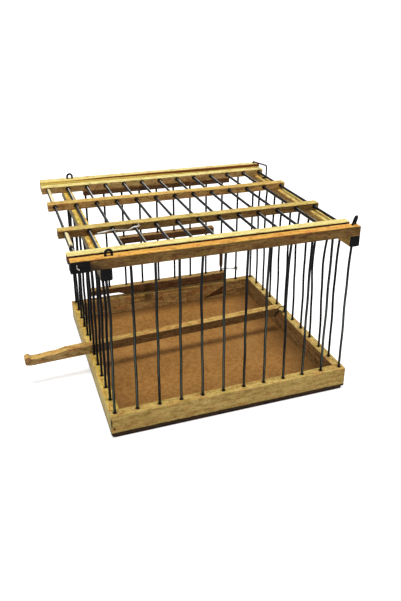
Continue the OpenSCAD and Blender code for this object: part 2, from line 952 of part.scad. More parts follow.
module door_bottom_bar() {
    color("#5A3222")
        door_bar(door_left, door_bottom_right, door_z, door_bottom_h) {
            uprights(door_points, door_bottom_top - door_seat - seat_end_gap, door_bottom_top + eps, bore_d);
            uprights([hinge_point], 0, through, bore_d);
            door_cut();
        }
}

module door_wires() {
    color("#2A2E32")
        uprights(door_points, door_bottom_top - door_seat, door_top_z + door_seat, bar_d);
}

module door_hinge_wire() {
    color("#2A2E32")
        uprights([hinge_point], board_top - board_seat, cross_z + rail_seat, bar_d);
}

module door_grip_sleeve() {
    z = door_bottom_top + grip_rise;
    lip = 0.4;
    color("#6E4A2C")
        translate([bar_x(door_last_i), wall_y, z])
            difference() {
                union() {
                    translate([0, 0, grip_taper]) cylinder(h = grip_l - grip_taper, d = grip_d);
                    cylinder(h = grip_taper, d1 = bar_d + 2 * lip, d2 = grip_d);
                }
                translate([0, 0, -eps]) cylinder(h = grip_l + 2 * eps, d = bore_d);
            }
}

// ---------- door latch ----------

latch_r = bar_d / 2 + latch_gap + latch_d / 2;
latch_z = door_bottom_top + latch_rise;

// coil round the post bar, from where the arm meets it at the rear
latch_coil = [for (i = [0 : latch_turns * coil_steps])
    let (a = 90 - 360 * i / coil_steps)
        [latch_r * cos(a), latch_r * sin(a), latch_pitch * (i / coil_steps - latch_turns / 2)]];

module door_latch() {
    hook_y = door_bar_w / 2 + latch_gap + latch_d / 2;
    near = latch_reach / 3;
    arm = [
        [-latch_reach, hook_y, -latch_hook_l],
        [-latch_reach, hook_y, 0],
        [-near, latch_r + latch_gap, 0],
        latch_coil[0]
    ];
    color("#3A3833")
        translate([post_point.x, post_point.y, latch_z])
            swept_wire(concat(
                wire_path(arm, latch_d),
                [for (i = [1 : len(latch_coil) - 1]) latch_coil[i]]
            ), latch_d);
}

// ---------- perch ----------

// side outline of the perch, along its length from the inner end
module perch_outline() {
    knob_s = perch_l - perch_knob_l;
    neck_s = knob_s - perch_shank_h;
    shank_s = perch_l - perch_shank_l;
    taper = perch_h;
    corner = 1;
    polygon([
        [0, 0],
        [knob_s, 0],
        [perch_l - corner, perch_tip_rise],
        [perch_l, perch_tip_rise + corner],
        [perch_l, perch_knob_h - 2 * corner],
        [perch_l - corner, perch_knob_h - corner / 2],
        [knob_s + 2 * corner, perch_knob_h],
        [knob_s + corner / 2, perch_knob_h - corner / 2],
        [knob_s - corner, perch_neck_h + corner / 2],
        [neck_s, perch_neck_h],
        [neck_s - taper, perch_shank_h],
        [shank_s + taper, perch_shank_h],
        [shank_s, perch_h],
        [0, perch_h]
    ]);
}

module perch() {
    color("#E3CE80")
        translate([perch_inner_x, perch_inner_y, board_top])
            rotate([0, 0, 180 + perch_turn])
                translate([0, perch_w / 2, 0])
                    rotate([90, 0, 0])
                        linear_extrude(height = perch_w)
                            perch_outline();
}

// point beside the perch: s along it from its inner end, t across it to the rear, z upwards
function by_perch(s, t, z) = [
    perch_inner_x + s * perch_dir.x - t * perch_dir.y,
    perch_inner_y + s * perch_dir.y - t * perch_dir.x,
    z
];

// wire loop round a bar of the right wall, passing under the perch's inner end
module perch_loop() {
    around = bar_d / 2 + loop_gap + loop_d / 2;
    beside = perch_w / 2 + loop_gap + loop_d / 2;
    under_z = board_top - loop_gap - loop_d / 2;
    front_z = board_top + loop_gap + loop_d / 2;
    back_z = front_z + perch_h / 2;
    lead = board_t / 2;
    rise = perch_h * 2 / 3;
    color("#1B1A18")
        bent_wire([
            by_perch(loop_l, -beside, board_top + rise / 2),
            by_perch(-loop_d, -beside, board_top + rise),
            [loop_bar.x - lead, loop_bar.y - around, front_z],
            [loop_bar.x + around, loop_bar.y - around, front_z],
            [loop_bar.x + around, loop_bar.y + around, back_z],
            [loop_bar.x - lead, loop_bar.y + around, back_z],
            by_perch(-loop_d, beside, back_z - loop_d),
            by_perch(loop_l, beside, under_z),
            by_perch(loop_l, -beside, under_z),
            by_perch(loop_l, -beside, board_top + rise / 2 - loop_d)
        ], around * 0.6, loop_d);
}

// ---------- drawing ----------

base_front_board();
base_rear_board();
base_left_board();
base_right_board();
floor_panel();
corner_nails();
floor_nails();
front_bars();
left_bars();
right_bars();
rear_corner_bars();
door_post_bar();
left_side_rail();
right_side_rail();
left_end_cap();
right_end_cap();
front_top_rail();
rear_top_rail();
top_rail_nails();
rail_end_tape();
tape_staple();
eye_front_left();
eye_rear_left();
eye_front_right();
lid_front_lath();
lid_second_lath();
lid_third_lath();
lid_rear_lath();
lid_spokes();
front_spoke_sleeve();
rear_spoke_sleeve();
sleeve_ring();
lid_bent_nail();
lid_catch();
door_top_bar();
door_middle_bar();
door_bottom_bar();
door_wires();
door_hinge_wire();
door_grip_sleeve();
door_latch();
perch();
perch_loop();
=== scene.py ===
import math

import bmesh
import bpy
from mathutils import Matrix, Vector


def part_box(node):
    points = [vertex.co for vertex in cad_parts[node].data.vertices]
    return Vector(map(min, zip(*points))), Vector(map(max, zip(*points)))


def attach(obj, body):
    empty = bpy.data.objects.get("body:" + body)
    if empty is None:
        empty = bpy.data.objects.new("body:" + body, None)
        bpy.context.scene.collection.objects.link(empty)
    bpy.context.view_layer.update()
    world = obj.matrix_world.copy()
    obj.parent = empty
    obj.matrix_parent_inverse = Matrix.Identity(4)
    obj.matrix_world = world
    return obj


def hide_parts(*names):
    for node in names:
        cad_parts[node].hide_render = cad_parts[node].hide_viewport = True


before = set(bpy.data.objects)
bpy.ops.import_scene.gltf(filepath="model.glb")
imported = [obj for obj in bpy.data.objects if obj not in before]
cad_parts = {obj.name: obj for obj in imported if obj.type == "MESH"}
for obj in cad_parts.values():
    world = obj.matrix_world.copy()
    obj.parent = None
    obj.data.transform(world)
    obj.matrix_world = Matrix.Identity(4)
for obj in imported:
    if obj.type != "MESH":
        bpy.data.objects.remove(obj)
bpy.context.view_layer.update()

MM = 0.001
X, Y, Z = 0, 1, 2
TOP, FRONT, LEFT = (0, 0, 1), (0, -1, 0), (-1, 0, 0)


def lowest(node, axis):
    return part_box(node)[0][axis]


def highest(node, axis):
    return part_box(node)[1][axis]


def middle(node, axis):
    return (lowest(node, axis) + highest(node, axis)) / 2


# Places on the cage, taken from the frame
BASE_EDGE = highest("base_front_board", X)
BOARD_TOP = highest("base_front_board", Z)
SIDE_RAIL = lowest("left_side_rail", Z)
CROSS_RAIL = lowest("front_top_rail", Z)
FRONT_RAIL_TOP = highest("front_top_rail", Z)
REAR_RAIL_TOP = highest("rear_top_rail", Z)
TAPE_END = highest("rail_end_tape", X)
SECOND_LATH = lowest("lid_second_lath", Y)
THIRD_LATH = highest("lid_third_lath", Y)
SPOKE_Z = middle("lid_spokes", Z)

# The bars of the walls; the spokes and the door's wires stand on the same lines
BAR_D = 2.5 * MM
BAR_LINES = 12
WALL_LINE = middle("right_bars", X)
BAR_PITCH = 2 * WALL_LINE / (BAR_LINES - 1)
BAR_FOOT = lowest("left_bars", Z)
RAIL_SEAT = highest("left_bars", Z) - SIDE_RAIL

# Camera, fitted to the tray's corners, the bars' feet and the rails' ends, with its angles in radians
IMAGE_W, IMAGE_H = 401, 601
FOCAL_PX = 617.56
CENTRE_PX = (212.72, 263.27)
CAMERA_AT = Vector((-198.71, -596.89, 386.32)) * MM
YAW, PITCH = math.radians(20.162), math.radians(23.578)
ROLL = 0.010
SENSOR = 36


def set_camera():
    forward = Vector((
        math.sin(YAW) * math.cos(PITCH),
        math.cos(YAW) * math.cos(PITCH),
        -math.sin(PITCH),
    ))
    level = Vector((math.cos(YAW), -math.sin(YAW), 0))
    above = level.cross(forward)
    right = math.cos(ROLL) * level + math.sin(ROLL) * above
    up = math.cos(ROLL) * above - math.sin(ROLL) * level
    lens = bpy.data.cameras.new("camera")
    lens.sensor_fit = "VERTICAL"
    lens.sensor_height = SENSOR
    lens.lens = SENSOR * FOCAL_PX / IMAGE_H
    lens.shift_x = (IMAGE_W / 2 - CENTRE_PX[0]) / IMAGE_H
    lens.shift_y = (CENTRE_PX[1] - IMAGE_H / 2) / IMAGE_H
    lens.clip_start = 10 * MM
    camera = bpy.data.objects.new("camera", lens)
    turn = Matrix((right, up, -forward)).transposed().to_4x4()
    camera.matrix_world = Matrix.Translation(CAMERA_AT) @ turn
    bpy.context.scene.collection.objects.link(camera)
    bpy.context.scene.camera = camera


# Shader nodes

# How squarely a surface has to face one way: not at all up to the first, fully from the second
FACING, SQUARELY = (0.3, 0.8), (0.5, 0.9)

# The numbers of a Mix node's sockets for colours
MIX_SHARE, MIX_FIRST, MIX_SECOND, MIX_RESULT = 0, 6, 7, 2


class Value:
    """A number that shader nodes work out, written as plain sums."""

    def __init__(self, nodes, socket):
        self.nodes = nodes
        self.socket = socket

    def maths(self, operation, *terms):
        node = self.nodes.node("Math", dict(enumerate(terms)), operation=operation)
        return self.nodes.value(node)

    def __add__(self, other):
        return self.maths("ADD", self, other)

    def __radd__(self, other):
        return self.maths("ADD", other, self)

    def __sub__(self, other):
        return self.maths("SUBTRACT", self, other)

    def __rsub__(self, other):
        return self.maths("SUBTRACT", other, self)

    def __mul__(self, other):
        return self.maths("MULTIPLY", self, other)

    def __rmul__(self, other):
        return self.maths("MULTIPLY", other, self)

    def __truediv__(self, other):
        return self.maths("DIVIDE", self, other)

    def __pow__(self, other):
        return self.maths("POWER", self, other)

    def __abs__(self):
        return self.maths("ABSOLUTE", self)

    def most(self, other):
        return self.maths("MAXIMUM", self, other)

    def wrapped(self, step):
        """Distance from the nearest whole multiple of step."""
        return self.maths("PINGPONG", self, step / 2)

    def rise(self, start, end):
        """0 below start, 1 above end, smooth between."""
        sockets = {"Value": self, "From Min": start, "From Max": end}
        node = self.nodes.node("MapRange", sockets, interpolation_type="SMOOTHSTEP")
        return self.nodes.value(node, "Result")


class Nodes:
    """A node tree, and the one way its nodes are made."""

    def __init__(self, tree):
        self.tree = tree

    def node(self, kind, sockets=None, **settings):
        """A node: its settings first, then a value or a link for each socket, by name or number."""
        made = self.tree.nodes.new("ShaderNode" + kind)
        for setting, choice in settings.items():
            setattr(made, setting, choice)
        for socket, value in (sockets or {}).items():
            self.feed(made.inputs[socket], value)
        return made

    def feed(self, slot, value):
        if isinstance(value, Value):
            value = value.socket
        if isinstance(value, bpy.types.NodeSocket):
            self.tree.links.new(value, slot)
        else:
            slot.default_value = value

    def value(self, node, output=0):
        return Value(self, node.outputs[output])


class Finish(Nodes):
    """A material, and what its colours are worked out from."""

    def __init__(self, name, metallic=0.0, specular=0.5):
        self.material = bpy.data.materials.new(name)
        self.material.use_nodes = True
        super().__init__(self.material.node_tree)
        self.shader = self.tree.nodes["Principled BSDF"]
        self.feed(self.shader.inputs["Metallic"], metallic)
        self.feed(self.shader.inputs["Specular IOR Level"], specular)

    def along(self, axis):
        """The surface's place on one axis, in metres."""
        place = self.node("TexCoord").outputs["Object"]
        return self.value(self.node("SeparateXYZ", {"Vector": place}), axis)

    def facing(self, way):
        """How squarely the surface faces one way, from 1 to -1 where it is turned away."""
        normal = self.node("TexCoord").outputs["Normal"]
        return self.value(self.node("VectorMath", {0: normal, 1: way}, operation="DOT_PRODUCT"), "Value")

    def faces(self, way, limits=FACING):
        """1 where the surface faces one way, else 0."""
        return self.facing(way).rise(*limits)

    def upright(self, limits=FACING):
        """1 on the upright faces, 0 on tops and undersides."""
        return 1 - (self.facing(TOP) ** 2).rise(*limits)

    def place(self, turn=0.0, shift=(0, 0, 0)):
        """Object coordinates, turned about Z, then shifted."""
        here = self.node("TexCoord").outputs["Object"]
        return self.node("Mapping", {"Vector": here, "Rotation": (0, 0, turn), "Location": shift}).outputs[0]

    def noise(self, scale, detail, rough, distortion=0.0, stretch=(1, 1, 1), where=None):
        """Noise from 0 to 1 at scale per metre, multiplied on each axis by stretch."""
        stretched = self.node("Mapping", {"Vector": where or self.place(), "Scale": stretch}).outputs[0]
        sockets = {"Vector": stretched, "Scale": scale, "Detail": detail}
        sockets.update({"Roughness": rough, "Distortion": distortion})
        return self.value(self.node("TexNoise", sockets), "Fac")

    def mix(self, share, first, second, blend="MIX"):
        """The first colour with a share of the second over it."""
        sockets = {MIX_SHARE: share, MIX_FIRST: first, MIX_SECOND: second}
        return self.node("Mix", sockets, data_type="RGBA", blend_type=blend).outputs[MIX_RESULT]

    def paint(self, colour):
        self.feed(self.shader.inputs["Base Color"], colour)

    def gloss(self, roughness):
        self.feed(self.shader.inputs["Roughness"], roughness)

    def relief(self, height, depth, strength):
        bump = self.node("Bump", {"Height": height, "Distance": depth, "Strength": strength})
        self.feed(self.shader.inputs["Normal"], bump.outputs[0])


def rgb(red, green, blue):
    """A colour as it shows on a screen, 0 to 255, for a shader."""
    def linear(level):
        level /= 255
        return level / 12.92 if level <= 0.04045 else ((level + 0.055) / 1.055) ** 2.4
    return (linear(red), linear(green), linear(blue), 1.0)


def tones(first, second):
    """The pair of colours that a pattern runs between."""
    return rgb(*first), rgb(*second)


# Wood

GRAIN_X, GRAIN_Y, GRAIN_PERCH = 0.0, math.pi / 2, math.radians(-3.3)

# Each pattern: its scale along and across the grain, per metre, then detail, roughness and distortion
FIBRES = (40, 520), 4.0, 0.65, 0.4
RINGS = (9, 150), 3.0, 0.55, 1.5
BLOTCHES = (130, 260), 3.0, 0.6, 0.0
TINT = (70, 190), 2.0, 0.5, 0.0
PORES = (330, 760), 2.0, 0.6, 0.0
SPECKS = (420, 800), 2.0, 0.6, 0.0

BROWN_TINT, PINK_TINT, GREEN_TINT = rgb(168, 138, 104), rgb(240, 196, 178), rgb(212, 218, 160)
DARK_SPECK = rgb(92, 58, 24)


def wood(name, grain, seed, top, front, left=None, inner=None, mottling=0.5, marks=()):
    """Sawn strip wood, with its own lit or shaded tones painted on each face for light and shade, then
    grain, mottling and marks.

    inner is for the right and rear faces and the underside, and seed moves the pattern.
    """
    f = Finish(name, specular=0.12)
    seated = f.place(grain, (seed, 0.37 * seed, 0.61 * seed))

    def pattern(scales, detail, rough, distortion):
        lengthways, across = scales
        return f.noise(1.0, detail, rough, distortion, (lengthways, across, across), seated)

    fibres, rings, blotches = pattern(*FIBRES), pattern(*RINGS), pattern(*BLOTCHES)
    tint, pores, specks = pattern(*TINT), pattern(*PORES), pattern(*SPECKS)
    streak = 0.34 * rings.rise(0.36, 0.64) + 0.33 * fibres.rise(0.36, 0.64) + 0.33 * pores.rise(0.38, 0.62)
    colour = f.mix(streak, *(inner or front))
    # Each face takes its own pair of tones: painted light on the lit faces, painted shade on the shaded
    # ones.
    for way, pair in ((FRONT, front), (LEFT, left or front), (TOP, top)):
        colour = f.mix(f.faces(way), colour, f.mix(streak, *pair))
    brown, pink, green = blotches.rise(0.47, 0.66), tint.rise(0.5, 0.7), 1 - tint.rise(0.3, 0.46)
    for share, shade in ((brown, BROWN_TINT), (pink, PINK_TINT), (green, GREEN_TINT)):
        colour = f.mix(share * mottling, colour, shade, "MULTIPLY")
    colour = f.mix(specks.rise(0.56, 0.68) * mottling, colour, DARK_SPECK)
    for mark in marks:
        colour = mark(f, colour, blotches)
    f.paint(colour)
    f.gloss(0.5 + 0.25 * fibres)
    f.relief(0.6 * fibres + 0.4 * rings + 0.3 * specks, depth=0.4 * MM, strength=0.8)
    return f.material


# Marks on the wood: each takes the colour so far and gives it back with the mark over it

# Where they are. A pair is the start and the end of a soft edge, and the wood's blotches make it ragged
SEAT_RING, HOLE_RING = (2.3 * MM, 3.2 * MM), (2.6 * MM, 3.8 * MM)
HOLE_Z = SPOKE_Z + 0.6 * MM
# Height and half-width of the painted shadow line on the front rail
GAP_SHADOW_Z, GAP_SHADOW_HALF = FRONT_RAIL_TOP - 0.3 * MM, (0.8 * MM, 1.6 * MM)
FOOT_TOP, FOOT_OUTER = (6.2 * MM, 7.2 * MM), (BASE_EDGE - 1.5 * MM, BASE_EDGE - 0.5 * MM)
MARK_END = 1.0 * MM, 2.0 * MM
MARK_LOW, MARK_TOP = (13.5 * MM, 15.0 * MM), (20.5 * MM, 22.0 * MM)
EDGE_TOP = SIDE_RAIL + 2.2 * MM, SIDE_RAIL + 3.0 * MM
WEDGE_LEFT, WEDGE_RIGHT = 49.6 * MM, 77.8 * MM
WEDGE_LOW, WEDGE_TOP = 4.5 * MM, 19.6 * MM
BLOB_X, BLOB_WIDTH, BLOB_LOW = -25 * MM, 6.5 * MM, (12 * MM, 20 * MM)
TAPE_REACH, TAPE_SLOPE = (TAPE_END - 9 * MM, TAPE_END + 15 * MM), 2.2
SHADOW_Z = REAR_RAIL_TOP - 1.9 * MM
SHADOW_THIN, SHADOW_THICK = (-122 * MM, -70 * MM), (-70 * MM, 60 * MM)
PERCH_INSIDE = 1 * MM, 13 * MM

SEAT_DIRT, HOLE_DIRT = rgb(14, 8, 5), rgb(14, 6, 5)
FOOT_DARK, MARK_DARK, EDGE_DARK = rgb(24, 11, 7), rgb(26, 14, 8), rgb(44, 30, 20)
# The first of these is the front rail's painted shadow line, the second the rear rail's painted shadow line.
GAP_SHADOW_BROWN, SHADOW_BROWN, PALE_FACE = rgb(54, 22, 6), rgb(110, 40, 14), rgb(255, 230, 132)
# The second of these is a painted shadow on the rear board and the door.
WEDGE_BROWN, SHADOW_GREY = rgb(58, 22, 6), rgb(30, 22, 14)
# Both of these are painted shade: beside the tape, and on the perch inside the cage.
TAPE_SHADOW_BLACK, PERCH_SHADE = rgb(24, 16, 12), rgb(86, 58, 34)


def from_bar(f, axis, off):
    """Distance from the nearest bar or spoke; they follow each other along axis, and off is across it."""
    near = (f.along(axis) + BAR_PITCH / 2).wrapped(BAR_PITCH)
    return (near * near + off * off) ** 0.5


def bar_feet(axis, beyond=0.0):
    """Dark dirt in the seats round the bars' feet, on a board's top, beyond a distance from its middle."""
    def mark(f, colour, blotches):
        ring = from_bar(f, axis, abs(f.along(1 - axis)) - WALL_LINE) + 1.0 * MM * blotches
        seated = abs(f.along(axis)).rise(beyond, beyond + 1.0 * MM)
        dirt = (1 - ring.rise(*SEAT_RING)) * f.faces(TOP, SQUARELY) * seated
        return f.mix(0.95 * dirt, colour, SEAT_DIRT)
    return mark


def spoke_holes(f, colour, blotches):
    """Dark dirt round each spoke where it enters a lath, a little above its middle."""
    ring = from_bar(f, X, f.along(Z) - HOLE_Z) + 1.2 * MM * blotches
    side = (f.facing(FRONT) ** 2).rise(*FACING)
    return f.mix(0.95 * side * (1 - ring.rise(*HOLE_RING)), colour, HOLE_DIRT)


def gap_shadow_line(f, colour, blotches):
    """A painted shadow line, dark, along the front rail's upright faces at their upper edge."""
    off = abs(f.along(Z) - GAP_SHADOW_Z) + 1.2 * MM * blotches
    return f.mix(0.85 * f.upright() * (1 - off.rise(*GAP_SHADOW_HALF)), colour, GAP_SHADOW_BROWN)


def dark_foot(f, colour, blotches):
    """The lowest millimetres of the boards' outer faces, darkened to near black."""
    low = 1 - (f.along(Z) + 2.0 * MM * blotches).rise(*FOOT_TOP)
    outer = abs(f.along(X)).most(abs(f.along(Y))).rise(*FOOT_OUTER)
    return f.mix(0.96 * low * outer * f.upright(), colour, FOOT_DARK)


def corner_mark(f, colour, blotches):
    """The dark mark high on the front board's left end."""
    near = 1 - (f.along(X) + BASE_EDGE + 0.6 * MM * blotches).rise(*MARK_END)
    above = (f.along(Z) + 3.0 * MM * blotches).rise(*MARK_LOW)
    below = 1 - f.along(Z).rise(*MARK_TOP)
    return f.mix(0.9 * near * above * below * f.faces(FRONT, SQUARELY), colour, MARK_DARK)


def lower_edge(f, colour, blotches):
    """The thin dark lower edge of the left side rail's outer face."""
    low = 1 - (f.along(Z) + 1.0 * MM * blotches).rise(*EDGE_TOP)
    return f.mix(0.85 * low * f.faces(LEFT), colour, EDGE_DARK)


def dark_wedge(f, colour, blotches):
    """A dark wedge on the inside of the rear board, ending at an upright line."""
    across = (f.along(X) - WEDGE_LEFT) / (WEDGE_RIGHT - WEDGE_LEFT)
    slope = WEDGE_LOW - 0.8 * MM + across * (WEDGE_TOP - WEDGE_LOW) + 2.0 * MM * blotches
    under = (slope - f.along(Z)).rise(-0.6 * MM, 0.8 * MM)
    above = (f.along(Z) - (WEDGE_LOW + 4.0 * MM * across)).rise(-1.2 * MM, 0.6 * MM)
    inside = (1 - (f.along(X) - WEDGE_RIGHT).rise(-0.6 * MM, 0.8 * MM)) * across.rise(0.0, 0.06)
    return f.mix(0.85 * under * above * inside * f.faces(FRONT, SQUARELY), colour, WEDGE_BROWN)


def shadow_blob(f, colour, blotches):
    """A soft painted shadow on the rear board's inner face and the door above it."""
    off = f.along(X) - BLOB_X + 6.0 * MM * blotches
    near = 1 - (abs(off) / BLOB_WIDTH).rise(0.3, 1.3)
    above = (f.along(Z) + 6.0 * MM * blotches).rise(*BLOB_LOW)
    return f.mix(0.62 * near * above * f.faces(FRONT), colour, SHADOW_GREY)


def tape_shadow(f, colour, blotches):
    """A painted shadow of black beside the tape on the rail, reaching furthest along the lower edge."""
    reach = f.along(X) + TAPE_SLOPE * (f.along(Z) - CROSS_RAIL) - 30 * MM * blotches
    beside = 1 - reach.rise(*TAPE_REACH)
    return f.mix(0.85 * beside * f.faces(FRONT), colour, TAPE_SHADOW_BLACK)


def shadow_line(f, colour, blotches):
    """The rear rail's face, pale up to a dark line under its top that thins out to the left."""
    face = 0.95 * f.faces(FRONT)
    height = f.along(Z) - SHADOW_Z
    right = f.along(X).rise(*SHADOW_THICK)
    thick = 1.4 * MM * f.along(X).rise(*SHADOW_THIN) + 1.0 * MM * right
    over = (height + 0.6 * MM * blotches + 1.2 * MM * right).rise(-0.2 * MM, 0.3 * MM)
    under = 1 - (height - thick).rise(-0.1 * MM, 0.4 * MM)
    return f.mix(over * under * face, f.mix(face, colour, PALE_FACE), SHADOW_BROWN)


def shaded_inside(f, colour, blotches):
    """The perch inside the cage, painted darker for the shade there than the end outside."""
    inside = (f.along(X) + BASE_EDGE + 6.0 * MM * blotches).rise(*PERCH_INSIDE)
    return f.mix(0.62 * inside * f.upright(), colour, PERCH_SHADE)


# Metal

BAR_TONES, BAR_RUST = tones((7, 7, 8), (28, 31, 32)), rgb(58, 40, 26)
# Both of these are painted highlights: the sheen on the front bars and the glint on the lid spokes.
BAR_SHEEN, SPOKE_GLINT = rgb(92, 104, 94), rgb(226, 224, 216)
NAIL_RUST = tones((22, 14, 10), (52, 34, 22))
NAIL_FILLED = tones((172, 144, 78), (134, 104, 50))

# The ways that the painted grey-green sheen on the bars' fronts and the painted glint on the spokes' tops
# face, and their limits
BAR_SHEEN_WAY, SPOKE_GLINT_WAY = ((-0.36, -0.93, 0), (0.88, 0.995)), ((0.5, 0, 0.866), (0.84, 0.95))


def dark_bar(name, sheen=None):
    """Drawn steel wire, nearly black, with a few rusty flecks."""
    f = Finish(name, specular=0.12)
    worn = f.noise(70, detail=3, rough=0.6, stretch=(1, 1, 0.35))
    fleck = f.noise(500, detail=3, rough=0.6)
    colour = f.mix(worn.rise(0.45, 0.75), *BAR_TONES)
    colour = f.mix(0.5 * fleck.rise(0.64, 0.76), colour, BAR_RUST)
    # A sheen, when given, paints a highlight over the colour.
    f.paint(sheen(f, colour, worn) if sheen else colour)
    f.gloss(0.38 + 0.25 * worn)
    f.relief(fleck, depth=0.1 * MM, strength=0.5)
    return f.material


def painted_front_sheen(f, colour, worn):
    """A painted grey-green sheen on the front of an upright bar, most of all low down."""
    front = f.faces(*BAR_SHEEN_WAY)
    height = f.along(Z) - BOARD_TOP
    low = (1 - height.rise(60 * MM, 110 * MM)) * height.rise(2 * MM, 6 * MM)
    return f.mix(0.85 * front * (0.25 + 0.75 * low) * worn.rise(0.3, 0.6), colour, BAR_SHEEN)


def painted_spoke_glint(f, colour, worn):
    """A painted bright glint along the top of a lid spoke, most of all behind the third lath."""
    ridge = f.faces(*SPOKE_GLINT_WAY)
    rear = (f.along(Y) - THIRD_LATH).rise(-2 * MM, 4 * MM)
    front = 1 - (f.along(Y) - SECOND_LATH).rise(-4 * MM, 2 * MM)
    share = 0.25 + 0.75 * rear + 0.35 * front
    return f.mix(ridge * share * worn.rise(0.28, 0.5), colour, SPOKE_GLINT)


def wire(name, pair, roughness, metallic=0.0, specular=0.5):
    """Bent wire or a nail, with tool marks and dull patches."""
    f = Finish(name, metallic, specular)
    marks = f.noise(300, detail=4, rough=0.6)
    patches = f.noise(90, detail=2, rough=0.5)
    f.paint(f.mix(patches.rise(0.4, 0.65), *pair))
    f.gloss(roughness - 0.08 + 0.25 * marks)
    f.relief(marks, depth=0.12 * MM, strength=0.5)
    return f.material


def corner_nail():
    """Rusty nail heads, the right-hand ones filled and stained like the board round them."""
    f = Finish("corner_nail_head", specular=0.2)
    rust = f.noise(300, detail=3, rough=0.6)
    patches = rust.rise(0.4, 0.65)
    right = f.along(X).rise(0.0, 50 * MM)
    f.paint(f.mix(right, f.mix(patches, *NAIL_RUST), f.mix(patches, *NAIL_FILLED)))
    f.gloss(0.5 + 0.2 * rust)
    f.relief(rust, depth=0.2 * MM, strength=0.5)
    return f.material


# Sleeves, tape and hardboard

# The second of these is the painted shade on the sleeves' left side.
SLEEVE_SCUFF, SLEEVE_SHADE = rgb(98, 74, 44), rgb(20, 16, 12)
TAPE_TONES, TAPE_BROWN = tones((8, 7, 8), (34, 30, 28)), rgb(84, 62, 38)
FLOOR_TONES, FLOOR_EDGE = tones((152, 103, 46), (178, 130, 68)), tones((26, 11, 6), (60, 34, 22))
FLOOR_WORN, FLOOR_DARK, FLOOR_SHADE = rgb(184, 138, 78), rgb(98, 62, 24), rgb(60, 40, 22)
SHADE_RIGHT, SHADE_REAR = (78 * MM, 118 * MM), (98 * MM, 120 * MM)


def sleeve(name, pair, shaded_side, roughness=0.6):
    """Plastic sleeve, yellowed and scuffed along its length, painted black on its left side for shade."""
    f = Finish(name, specular=0.25)
    scuffs = f.noise(240, detail=4, rough=0.6, stretch=(1, 0.3, 1))
    yellowing = f.noise(45, detail=2, rough=0.5)
    colour = f.mix(yellowing.rise(0.35, 0.7), *pair)
    colour = f.mix(0.4 * scuffs.rise(0.6, 0.75), colour, SLEEVE_SCUFF)
    side = (f.facing((-1, 0, -0.25)) + 0.3 * scuffs).rise(0.3, 0.6)
    f.paint(f.mix(shaded_side * side, colour, SLEEVE_SHADE))
    f.gloss(roughness - 0.1 + 0.25 * scuffs)
    f.relief(scuffs, depth=0.2 * MM, strength=0.5)
    return f.material


def black_tape():
    """Black tape, matt, with a faint weave, rubbed through to brown in patches."""
    f = Finish("black_tape", specular=0.15)
    weave = f.noise(900, detail=2, rough=0.5)
    rubbed = f.noise(160, detail=4, rough=0.65)
    colour = f.mix(rubbed.rise(0.5, 0.72), *TAPE_TONES)
    f.paint(f.mix(0.6 * rubbed.rise(0.66, 0.74), colour, TAPE_BROWN))
    f.gloss(0.6 + 0.3 * rubbed)
    f.relief(weave + 0.5 * rubbed, depth=0.2 * MM, strength=0.6)
    return f.material


def hardboard():
    """Smooth brown hardboard, specked, worn pale in patches, dark along two walls, its sawn edge black."""
    f = Finish("hardboard", specular=0.15)
    specks = f.noise(1100, detail=3, rough=0.7)
    mottle = f.noise(240, detail=4, rough=0.65)
    fibre = f.noise(420, detail=3, rough=0.6, stretch=(1, 2.2, 1))
    worn = f.noise(24, detail=3, rough=0.55)
    colour = f.mix(mottle.rise(0.32, 0.68), *FLOOR_TONES)
    colour = f.mix(0.5 * worn.rise(0.48, 0.72), colour, FLOOR_WORN)
    colour = f.mix(0.55 * fibre.rise(0.56, 0.7), colour, FLOOR_DARK)
    colour = f.mix(0.5 * specks.rise(0.6, 0.7), colour, FLOOR_DARK)
    right = (f.along(X) + 12 * MM * mottle).rise(*SHADE_RIGHT)
    rear = (f.along(Y) + 10 * MM * mottle).rise(*SHADE_REAR)
    colour = f.mix(0.5 * right.most(rear), colour, FLOOR_SHADE)
    edge = f.mix(mottle.rise(0.4, 0.6), *FLOOR_EDGE)
    f.paint(f.mix(f.upright((0.3, 0.7)), colour, edge))
    f.gloss(0.55 + 0.25 * mottle)
    f.relief(0.5 * specks + mottle, depth=0.2 * MM, strength=0.6)
    return f.material


# What each of the cage's own pieces wears

# The tones for each piece's top, front, left and inner faces are painted light and shade: lit and shaded
# copies of one wood.
BOARD_FACE = tones((208, 179, 108), (162, 129, 66))


def tray_boards():
    front_board = wood(
        "front_board", GRAIN_X, 2.3, mottling=0.45, marks=(bar_feet(X), corner_mark, dark_foot),
        top=tones((229, 200, 118), (182, 146, 74)),
        front=BOARD_FACE,
        left=tones((206, 196, 130), (160, 146, 84)),
        inner=tones((150, 112, 64), (104, 74, 40)),
    )
    left_board = wood(
        "side_board", GRAIN_Y, 3.7, marks=(bar_feet(Y), dark_foot),
        top=tones((252, 226, 124), (212, 164, 66)),
        front=BOARD_FACE,
        left=tones((236, 216, 146), (193, 169, 99)),
        inner=tones((160, 124, 72), (106, 76, 40)),
    )
    right_board = wood(
        "right_board", GRAIN_Y, 4.4, mottling=0.55, marks=(bar_feet(Y), dark_foot),
        top=tones((247, 222, 140), (207, 168, 90)),
        front=BOARD_FACE,
        left=tones((198, 166, 112), (125, 96, 57)),
    )
    rear_board = wood(
        "rear_board", GRAIN_X, 4.9, mottling=0.6,
        marks=(bar_feet(X, 90 * MM), dark_wedge, shadow_blob, dark_foot),
        top=tones((226, 190, 104), (180, 134, 60)),
        front=tones((232, 196, 130), (144, 108, 59)),
    )
    return {
        "base_front_board": front_board, "base_left_board": left_board,
        "base_right_board": right_board, "base_rear_board": rear_board,
    }


